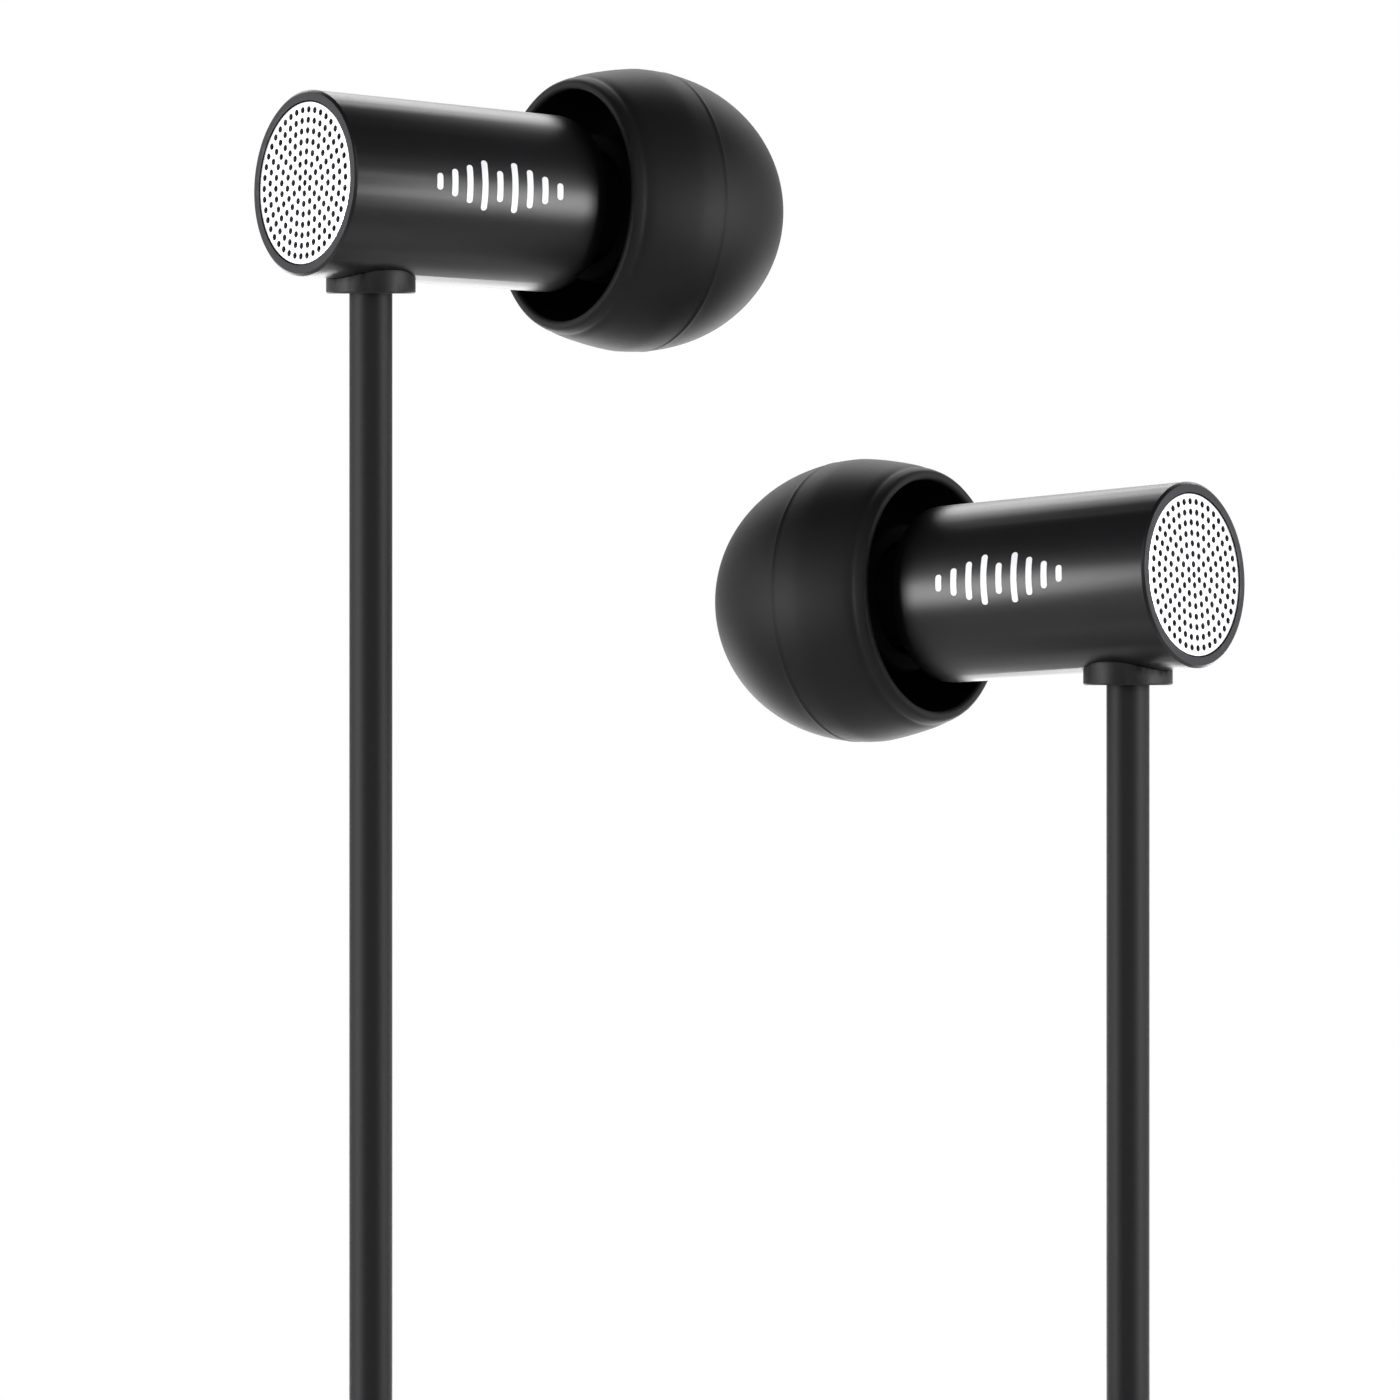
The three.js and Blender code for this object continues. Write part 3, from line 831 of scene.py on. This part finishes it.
tip = {
    "rimS": 13.15,
    "rimR": 5.28,
    "widestS": 16.2,
    "widestR": 5.93,
    "end": 22.9,  # where the dome would close
    "backPower": 1.3,  # how the skirt swells from its rim, 2 would be a quarter ellipse
    "fullness": 2.08,  # 2 is an ellipse, more is squarer
    "frontAngle": 1.19,  # the dome stops here, at the outlet
    "wall": 0.55,
    "lip": 0.42,  # wall at the rim
    "beadLength": 0.42,  # the rim's bead, with a shallow groove before the dome starts
    "groove": 0.045,
    "grooveShape": [0.15, 0.6, 1.0, 0.75, 0.4, 0.2, 0.08, 0.0],
    "outletR": 1.95,
    "coreR": 3.1,
    "coreBore": 2.36,
    "coreFrom": 14.35,
    "partingS": 17.3,
    "partingRise": 0.016,
    "sides": 128,
}


def tipOuter():
    t = tip
    points = []
    for i in range(17):
        f = i / 16
        swell = (1 - (1 - f) ** t["backPower"]) ** (1 / t["backPower"])
        points.append(
            (t["rimR"] + (t["widestR"] - t["rimR"]) * swell, t["rimS"] + (t["widestS"] - t["rimS"]) * f)
        )
    power = 2 / t["fullness"]
    for i in range(1, 41):
        a = t["frontAngle"] * i / 40
        r = t["widestR"] * math.cos(a) ** power
        s = t["widestS"] + (t["end"] - t["widestS"]) * math.sin(a) ** power
        points.append((r, s))
    return points


def makeTip():
    t = tip
    outer = tipOuter()
    bead = [(t["rimR"] + 0.03, t["rimS"] + 0.06)]
    for i, depth in enumerate(t["grooveShape"], 1):
        s = t["rimS"] + t["beadLength"] * (0.4 + 0.2 * i)
        a, b = next((a, b) for a, b in zip(outer, outer[1:]) if a[1] <= s <= b[1])
        r = a[0] + (b[0] - a[0]) * (s - a[1]) / (b[1] - a[1])
        bead.append((r - t["groove"] * depth, s))
    outer = outer[:1] + bead + [p for p in outer if p[1] > bead[-1][1] + 0.03]
    seam, before, after = [], t["partingS"] - 0.05, t["partingS"] + 0.05
    for (r, s), (nextR, nextS) in zip(outer, outer[1:]):
        seam.append((r, s))
        if s < t["partingS"] <= nextS:  # the faint ring where the mould's two halves meet
            mix = (t["partingS"] - s) / (nextS - s)
            ridge = r + (nextR - r) * mix
            seam += [
                (ridge + 0.002, before),
                (ridge + t["partingRise"], t["partingS"]),
                (ridge + 0.001, after),
            ]
    seam = [seam[0]] + [p for i, p in enumerate(seam[1:], 1) if p[1] > seam[i - 1][1] + 0.01]
    mouthS = outer[-1][1]
    mouth = [
        (t["outletR"] + 0.24, mouthS + 0.07),
        (t["outletR"] + 0.1, mouthS + 0.06),
        (t["outletR"] + 0.02, mouthS - 0.03),
        (t["outletR"], mouthS - 0.15),
        (t["outletR"], t["end"] - 1.1),
        (t["coreR"] + 0.05, t["end"] - 1.1),
        (t["coreR"] + 0.05, t["end"] - 3.0),
        (t["coreR"] + 0.2, t["end"] - 3.2),
        (3.75, t["end"] - 3.5),
        (4.35, t["end"] - 3.95),
        (4.72, t["end"] - 4.45),
        (4.98, t["end"] - 5.05),
        (5.24, t["widestS"] + 0.9),
        (t["widestR"] - t["wall"], t["widestS"] + 0.1),
    ]
    for i in range(1, 9):  # the skirt thins towards its rim
        f = 1 - i / 8
        swell = (1 - (1 - f) ** t["backPower"]) ** (1 / t["backPower"])
        r = t["rimR"] + (t["widestR"] - t["rimR"]) * swell
        wall = t["lip"] + (t["wall"] - t["lip"]) * f
        mouth.append((r - wall, t["rimS"] + 0.12 + (t["widestS"] - t["rimS"] - 0.1) * f))
    lip = t["lip"]
    mouth += [
        (t["rimR"] - lip * 0.97, t["rimS"] + 0.03),
        (t["rimR"] - lip * 0.86, t["rimS"] - 0.05),
        (t["rimR"] - lip * 0.7, t["rimS"] - 0.09),
        (t["rimR"] - lip * 0.4, t["rimS"] - 0.1),
        (t["rimR"] - lip * 0.16, t["rimS"] - 0.07),
    ]
    dome = turned("dome", [*seam, *mouth], t["sides"])
    smooth(dome, 50)
    forBothEars(
        dome, "TipDome", "silicone", body=lambda side: f"{side}_ear_tip", nodes=["tip_dome"]
    )
    core = turned(
        "core",
        [
            (t["coreBore"] + 0.12, t["coreFrom"]),
            (t["coreR"] - 0.12, t["coreFrom"]),
            (t["coreR"], t["coreFrom"] + 0.12),
            (t["coreR"], t["end"] - 1.15),
            (t["coreBore"], t["end"] - 1.15),
            (t["coreBore"], t["coreFrom"] + 0.12),
        ],
        96,
    )
    breakEdges(core, 0.05)
    smooth(core)
    forBothEars(
        core, "TipCore", "core", body=lambda side: f"{side}_ear_tip", nodes=["tip_core"]
    )


makeTip()
print("stage: ear tips moulded")

mark = {
    "heights": [0.7, 1.15, 1.6, 2.1, 1.3, 2.1, 1.6, 1.15, 0.7],
    "barWidth": 0.3,
    "pitch": 0.76,
    "middle": 7.3,  # from the rear face
    "blockAt": 4.0,  # middle of the blocks that cut the bars
    "reach": 4,  # the layer of ink the bars are cut from
    "turn": 5.0,  # degrees above the barrel's middle line
    "proud": 0.014,
    "sunk": 0.02,
}


def makeMark(side):
    towards = 1 if side == "left" else -1  # the marks face outwards on both
    bars = None
    for i, height in enumerate(mark["heights"]):
        s = mark["middle"] + (i - (len(mark["heights"]) - 1) / 2) * mark["pitch"]
        shape = (height, 2.0, mark["barWidth"])
        bar = block("bar", shape, (0, towards * mark["blockAt"], s), mark["barWidth"] * 0.45, along=1)
        if bars is None:
            bars = bar
        else:
            takeUp(bars)
            bar.select_set(True)
            bpy.ops.object.join()
    bars.data.transform(Matrix.Rotation(math.radians(-towards * mark["turn"]), 4, "Z"))
    low, high = mark["middle"] - mark["reach"], mark["middle"] + mark["reach"]
    skin = turned(
        "skin",
        [
            (barrelR(low) - mark["sunk"], low),
            (barrelR(low) + mark["proud"], low),
            (barrelR(high) + mark["proud"], high),
            (barrelR(high) - mark["sunk"], high),
        ],
        housing["sides"] * 2,
    )
    cut(skin, bars, "INTERSECT")
    skin.name = f"{side}LevelMarks"
    smooth(skin, 30)
    putInPlace(skin, earPlace(side))
    handOver(skin, "ink")


for side in ("left", "right"):
    makeMark(side)
print("stage: marks printed")

joint = {  # [radius, height] of the half-round sides, from the coil's centre
    "broken": 0.04,
    "splitter": [(1.35, -50), (1.52, -49.7), (1.6, -48.9), (1.6, -48.5), (1.46, -48.35), (1.46, -47.9),
                 (1.62, -47.75), (1.62, -47.3), (1.48, -47.15), (1.48, -46.7), (1.66, -46.5), (1.75, -45),
                 (1.75, -38.5), (1.66, -38.15), (1.45, -38)],
    "slider": [(1.4, -37.6), (1.58, -37.45), (1.65, -37.1), (1.65, -36.1), (1.58, -35.9), (1.58, -34.3),
               (1.65, -34.1), (1.65, -33.1), (1.58, -32.75), (1.4, -32.6)],
}


def atPair():
    return Matrix.Scale(mm, 4) @ Matrix.Translation(fromCoil(0, coil["pairY"], 0))


def legBores(piece, low, high):
    for x in (-coil["pairX"], coil["pairX"]):
        cut(piece, rod("bore", pose["legD"] / 2 + cordGap, low, high, x=x, sides=32))


def makeJoint():
    top = coil["splitterTop"]
    rings = joint["splitter"]
    splitter = turned("splitter", [(0, rings[0][1]), *rings, (0, rings[-1][1])], 64, coil["pairX"])
    legBores(splitter, top - 2.3, top + 1)
    bottom = rings[0][1]
    cut(splitter, rod("bore", pose["mainD"] / 2 + cordGap, bottom - 1, bottom + 3.3, sides=32))
    breakEdges(splitter, joint["broken"])
    smooth(splitter)
    putInPlace(splitter, atPair())
    handOver(splitter, "moulding", nodes=["splitter"])
    rings = joint["slider"]
    slider = turned("slider", [(0, rings[0][1]), *rings, (0, rings[-1][1])], 64, coil["pairX"])
    legBores(slider, top - 1, top + 8)
    breakEdges(slider, joint["broken"])
    smooth(slider)
    putInPlace(slider, atPair())
    handOver(slider, "moulding", "cord_slider", ["slider"])
    slider.name = "legSlider"
    splitter.name = "cordSplitter"
    return splitter, slider


cordSplitter, legSlider = makeJoint()

plug = {
    "barrelTop": -27,
    "shoulder": -42,
    "barrelR": 3.05,
    "socketR": 2.0,  # in the barrel's top, for the relief
    "reliefR": 1.95,
    "holdR": 1.25,  # the barrel's narrow inside, which holds the contacts
    "shaftR": 1.75,
    "sleeveR": 1.05,  # bore of the sleeve
    "bandR": 1.68,
    "linerR": 1.0,  # of the upper insulator inside the sleeve
    "rodR": 0.57,
    "rodHole": 0.62,
    "sides": 64,
}


def atPlug():
    return Matrix.Scale(mm, 4) @ Matrix.Translation(fromCoil(-coil["innerR"], coil["mainY"], 0))


def plugPiece(name, profile, finish, node, edge=0.04):
    piece = turned(name, profile, plug["sides"])
    if edge:
        breakEdges(piece, edge)
    smooth(piece, 30)
    putInPlace(piece, atPlug())
    handOver(piece, finish, nodes=[node])
    return piece


def makePlug():
    p, made = plug, []
    inner = pose["mainD"] / 2 + cordGap
    top, barrelTop, shoulder = coil["plugTop"], p["barrelTop"], p["shoulder"]
    seat = barrelTop - 2.4
    ribs = []
    for i in range(6):  # soft ribs that let the relief bend
        z, r = top - 0.35 - i, 1.42 + 0.085 * i
        ribs += [(r, z), (r, z - 0.5), (r - 0.22, z - 0.62), (r - 0.2, z - 0.9)]
    made.append(
        plugPiece(
            "plugRelief",
            [(inner, top), (1.3, top), *ribs, (p["reliefR"], barrelTop + 0.4), (p["reliefR"], seat),
             (inner, seat)],
            "moulding", "plug_relief",
        )
    )
    grip, outer, sunk = [], p["barrelR"], p["barrelR"] - 0.16
    for i in range(5):  # shallow finger grooves
        z = barrelTop - 1.6 - 0.9 * i
        grip += [(outer, z), (sunk, z - 0.14), (sunk, z - 0.4), (outer, z - 0.54)]
    made.append(
        plugPiece(
            "plugBarrel",
            [(p["socketR"], barrelTop), (outer - 0.45, barrelTop), (outer - 0.15, barrelTop - 0.12),
             (outer, barrelTop - 0.5), *grip, (outer, shoulder + 0.4), (outer - 0.12, shoulder + 0.1),
             (outer - 0.35, shoulder), (p["shaftR"] + 0.05, shoulder), (p["shaftR"] + 0.05, shoulder + 3),
             (p["holdR"], shoulder + 3), (p["holdR"], barrelTop - 2.5), (p["socketR"], barrelTop - 2.5)],
            "barrel", "plug_barrel",
        )
    )
    made.append(
        plugPiece(
            "plugSleeve",
            [(p["sleeveR"], shoulder + 2.9), (p["shaftR"], shoulder + 2.9), (p["shaftR"], shoulder - 7.0),
             (p["sleeveR"], shoulder - 7.0)],
            "gold", "plug_sleeve",
        )
    )
    made.append(
        plugPiece(
            "plugUpperInsulator",
            [(p["rodHole"], shoulder + 2.5), (p["linerR"], shoulder + 2.5), (p["linerR"], shoulder - 7.05),
             (p["bandR"], shoulder - 7.05), (p["bandR"], shoulder - 7.55), (p["rodHole"], shoulder - 7.55)],
            "insulator", "plug_insulator_upper", 0.02,
        )
    )
    for name, finish, slot, node, r, high, low in (
        ("plugRing", "gold", "plug_gold", "plug_ring", p["shaftR"], 7.6, 9.8),
        ("plugLowerInsulator", "insulator", "plug_insulator", "plug_insulator_lower", p["bandR"],
         9.85, 10.35),
    ):
        near, far = shoulder - high, shoulder - low
        band = [(p["rodHole"], near), (r, near), (r, far), (p["rodHole"], far)]
        made.append(plugPiece(name, band, finish, node, 0.03))
    nose = [(p["shaftR"], 10.4), (p["shaftR"], 10.85), (1.5, 11.2), (1.3, 11.6), (1.35, 11.85), (1.55, 12.2),
            (1.52, 12.5), (1.4, 13.0), (1.1, 13.5), (0.75, 13.85), (0.35, 13.98)]
    made.append(
        plugPiece(
            "plugTip",
            [(0, shoulder + 2.4), (p["rodR"], shoulder + 2.4), (p["rodR"], shoulder - 10.4),
             *[(r, shoulder - z) for r, z in nose], (0, shoulder - 14)],
            "gold", "plug_tip", 0.02,
        )
    )
    return made


plugPieces = makePlug()
print("stage: splitter, slider and plug made")

tie = {  # heights from the coil's centre
    "width": 5,
    "thick": 0.7,
    "low": 6.68,
    "high": 15.6,
    "half": 6.5,
    "corner": 0.9,
    "flap": (7.5, 0.5),  # the strap's free end: length and thickness in view
    "broken": 0.08,
}


def makeTie():
    t = tie
    middle = (t["low"] + t["high"]) / 2
    outer = (t["width"], 2 * (t["half"] + t["thick"]), t["high"] - t["low"] + 2 * t["thick"])
    inner = (t["width"] + 2, 2 * t["half"], t["high"] - t["low"])
    band = block("coilTie", outer, (0, 0, middle), rounding=t["corner"], along=0)
    cut(band, block("gap", inner, (0, 0, middle), rounding=t["corner"] * 0.3, along=0))
    # the free end of the strap, pressed down over its other end
    flap = block("flap", (t["width"], *t["flap"]), (0, 1.2, t["high"] + t["thick"] + 0.2), rounding=0.2)
    cut(band, flap, "UNION")
    breakEdges(band, t["broken"])
    smooth(band, 30)
    putInPlace(band, Matrix.Scale(mm, 4) @ Matrix.Translation(coil["centre"]))
    handOver(band, "webbing", nodes=["coil_tie"])
    return band


coilTie = makeTie()
print("stage: tie made")

cordEnds("left")
cordEnds("right")

keptFinishes = {
    "rear_screen": "cloth",
    "retainer_ring": "plastic",
    "terminal_board": "board",
    "driver_frame": "plastic",
    "driver_yoke": "steel",
    "driver_magnet": "magnet",
    "driver_pole_plate": "steel",
    "voice_coil": "copper",
    "diaphragm": "film",
    "driver_cover": "steel",
    "front_gasket": "foam",
    "nozzle_screen": "cloth",
    "cord_stop": "crimp",
    "lead_a": "copper",
    "lead_b": "copper",
}
for side in ("left", "right"):
    for node, finish in keptFinishes.items():
        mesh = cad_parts[f"{side}_{node}"].data
        mesh.materials.clear()
        mesh.materials.append(finishes[finish])

studio = {  # metres
    "floorR": 0.5,
    "floorDrop": 0.0005,
    "fadeFrom": 0.12,
    "fadeTo": 0.3,
    "surroundings": 0.12,  # brightness of the room that lights the object
    "panels": [
        # name, place in metres, width, height, brightness of its face (1 is white paper)
        ("backdrop", (0.0, 0.55, -0.01), 0.9, 0.8, 1.0),
        ("topBack", (0.0, 0.36, 0.26), 0.5, 0.16, 4.4),
        ("lowBack", (0.0, 0.2, -0.105), 0.4, 0.1, 4.0),
        ("sideLeft", (-0.5, 0.2, 0.03), 0.45, 0.45, 1.1),
        ("sideRight", (0.5, 0.2, 0.03), 0.45, 0.45, 1.1),
        ("edgeLeft", (-0.5, -0.02, 0.02), 0.18, 0.4, 2.6),
        ("edgeRight", (0.5, -0.02, 0.02), 0.18, 0.4, 2.6),
        ("frontLeft", (-0.23, -0.1, -0.02), 0.09, 0.1, 19.0),
        ("frontRight", (0.23, -0.1, -0.01), 0.09, 0.1, 19.0),
        ("front", (0.0, -0.8, 0.25), 0.6, 0.5, 2.2),
    ],
    "aim": (0, -0.005, -0.01),
}


def makeFloor():
    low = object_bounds()[0].z - studio["floorDrop"]
    clearSelection()
    bpy.ops.mesh.primitive_circle_add(
        vertices=96, radius=studio["floorR"], fill_type="NGON", location=(0, 0, low)
    )
    floor = bpy.context.object
    floor.name = "floor"
    bpy.ops.object.transform_apply(location=True, rotation=False, scale=False)
    material = startMaterial("palePaper")
    where = addNode(material, "ShaderNodeTexCoord").outputs["Object"]
    reach = addNode(material, "ShaderNodeVectorMath", {"operation": "LENGTH"}, {0: where})
    fade = addNode(
        material,
        "ShaderNodeMapRange",
        {"From Min": studio["fadeFrom"], "From Max": studio["fadeTo"], "To Min": 1.0, "To Max": 0.0},
        {"Value": reach.outputs["Value"]},
    )
    endMaterial(
        material, {"Base Color": linear("#f4f4f4"), "Roughness": 0.9}, {"Alpha": fade.outputs["Result"]}
    )
    floor.data.materials.append(material)


def makeLights():
    aim = Vector(studio["aim"])
    for name, place, width, height, brightness in studio["panels"]:
        clearSelection()
        turn = (aim - Vector(place)).to_track_quat("-Z", "Y").to_euler()
        bpy.ops.object.light_add(type="AREA", location=place, rotation=turn)
        lamp = bpy.context.object
        lamp.name = name
        lamp.data.shape = "RECTANGLE"
        lamp.data.size = width
        lamp.data.size_y = height
        lamp.data.energy = brightness * math.pi * width * height
        lamp.visible_camera = False


# White surroundings to the eye, and a softer grey to light the object with.
def makeSurroundings():
    world = bpy.data.worlds.new("studio")
    bpy.context.scene.world = world
    world.use_nodes = True
    world.node_tree.nodes.clear()
    seen = addNode(world, "ShaderNodeBackground", {"Color": (1, 1, 1, 1), "Strength": 1.0})
    grey = {"Color": (1, 1, 1, 1), "Strength": studio["surroundings"]}
    lit = addNode(world, "ShaderNodeBackground", grey)
    path = addNode(world, "ShaderNodeLightPath")
    mix = addNode(
        world,
        "ShaderNodeMixShader",
        {},
        {0: path.outputs["Is Camera Ray"], 1: lit.outputs["Background"], 2: seen.outputs["Background"]},
    )
    addNode(world, "ShaderNodeOutputWorld", {}, {"Surface": mix.outputs["Shader"]})
    bpy.context.scene.view_settings.view_transform = "Standard"


makeFloor()
makeLights()
makeSurroundings()
print("stage: studio lit")
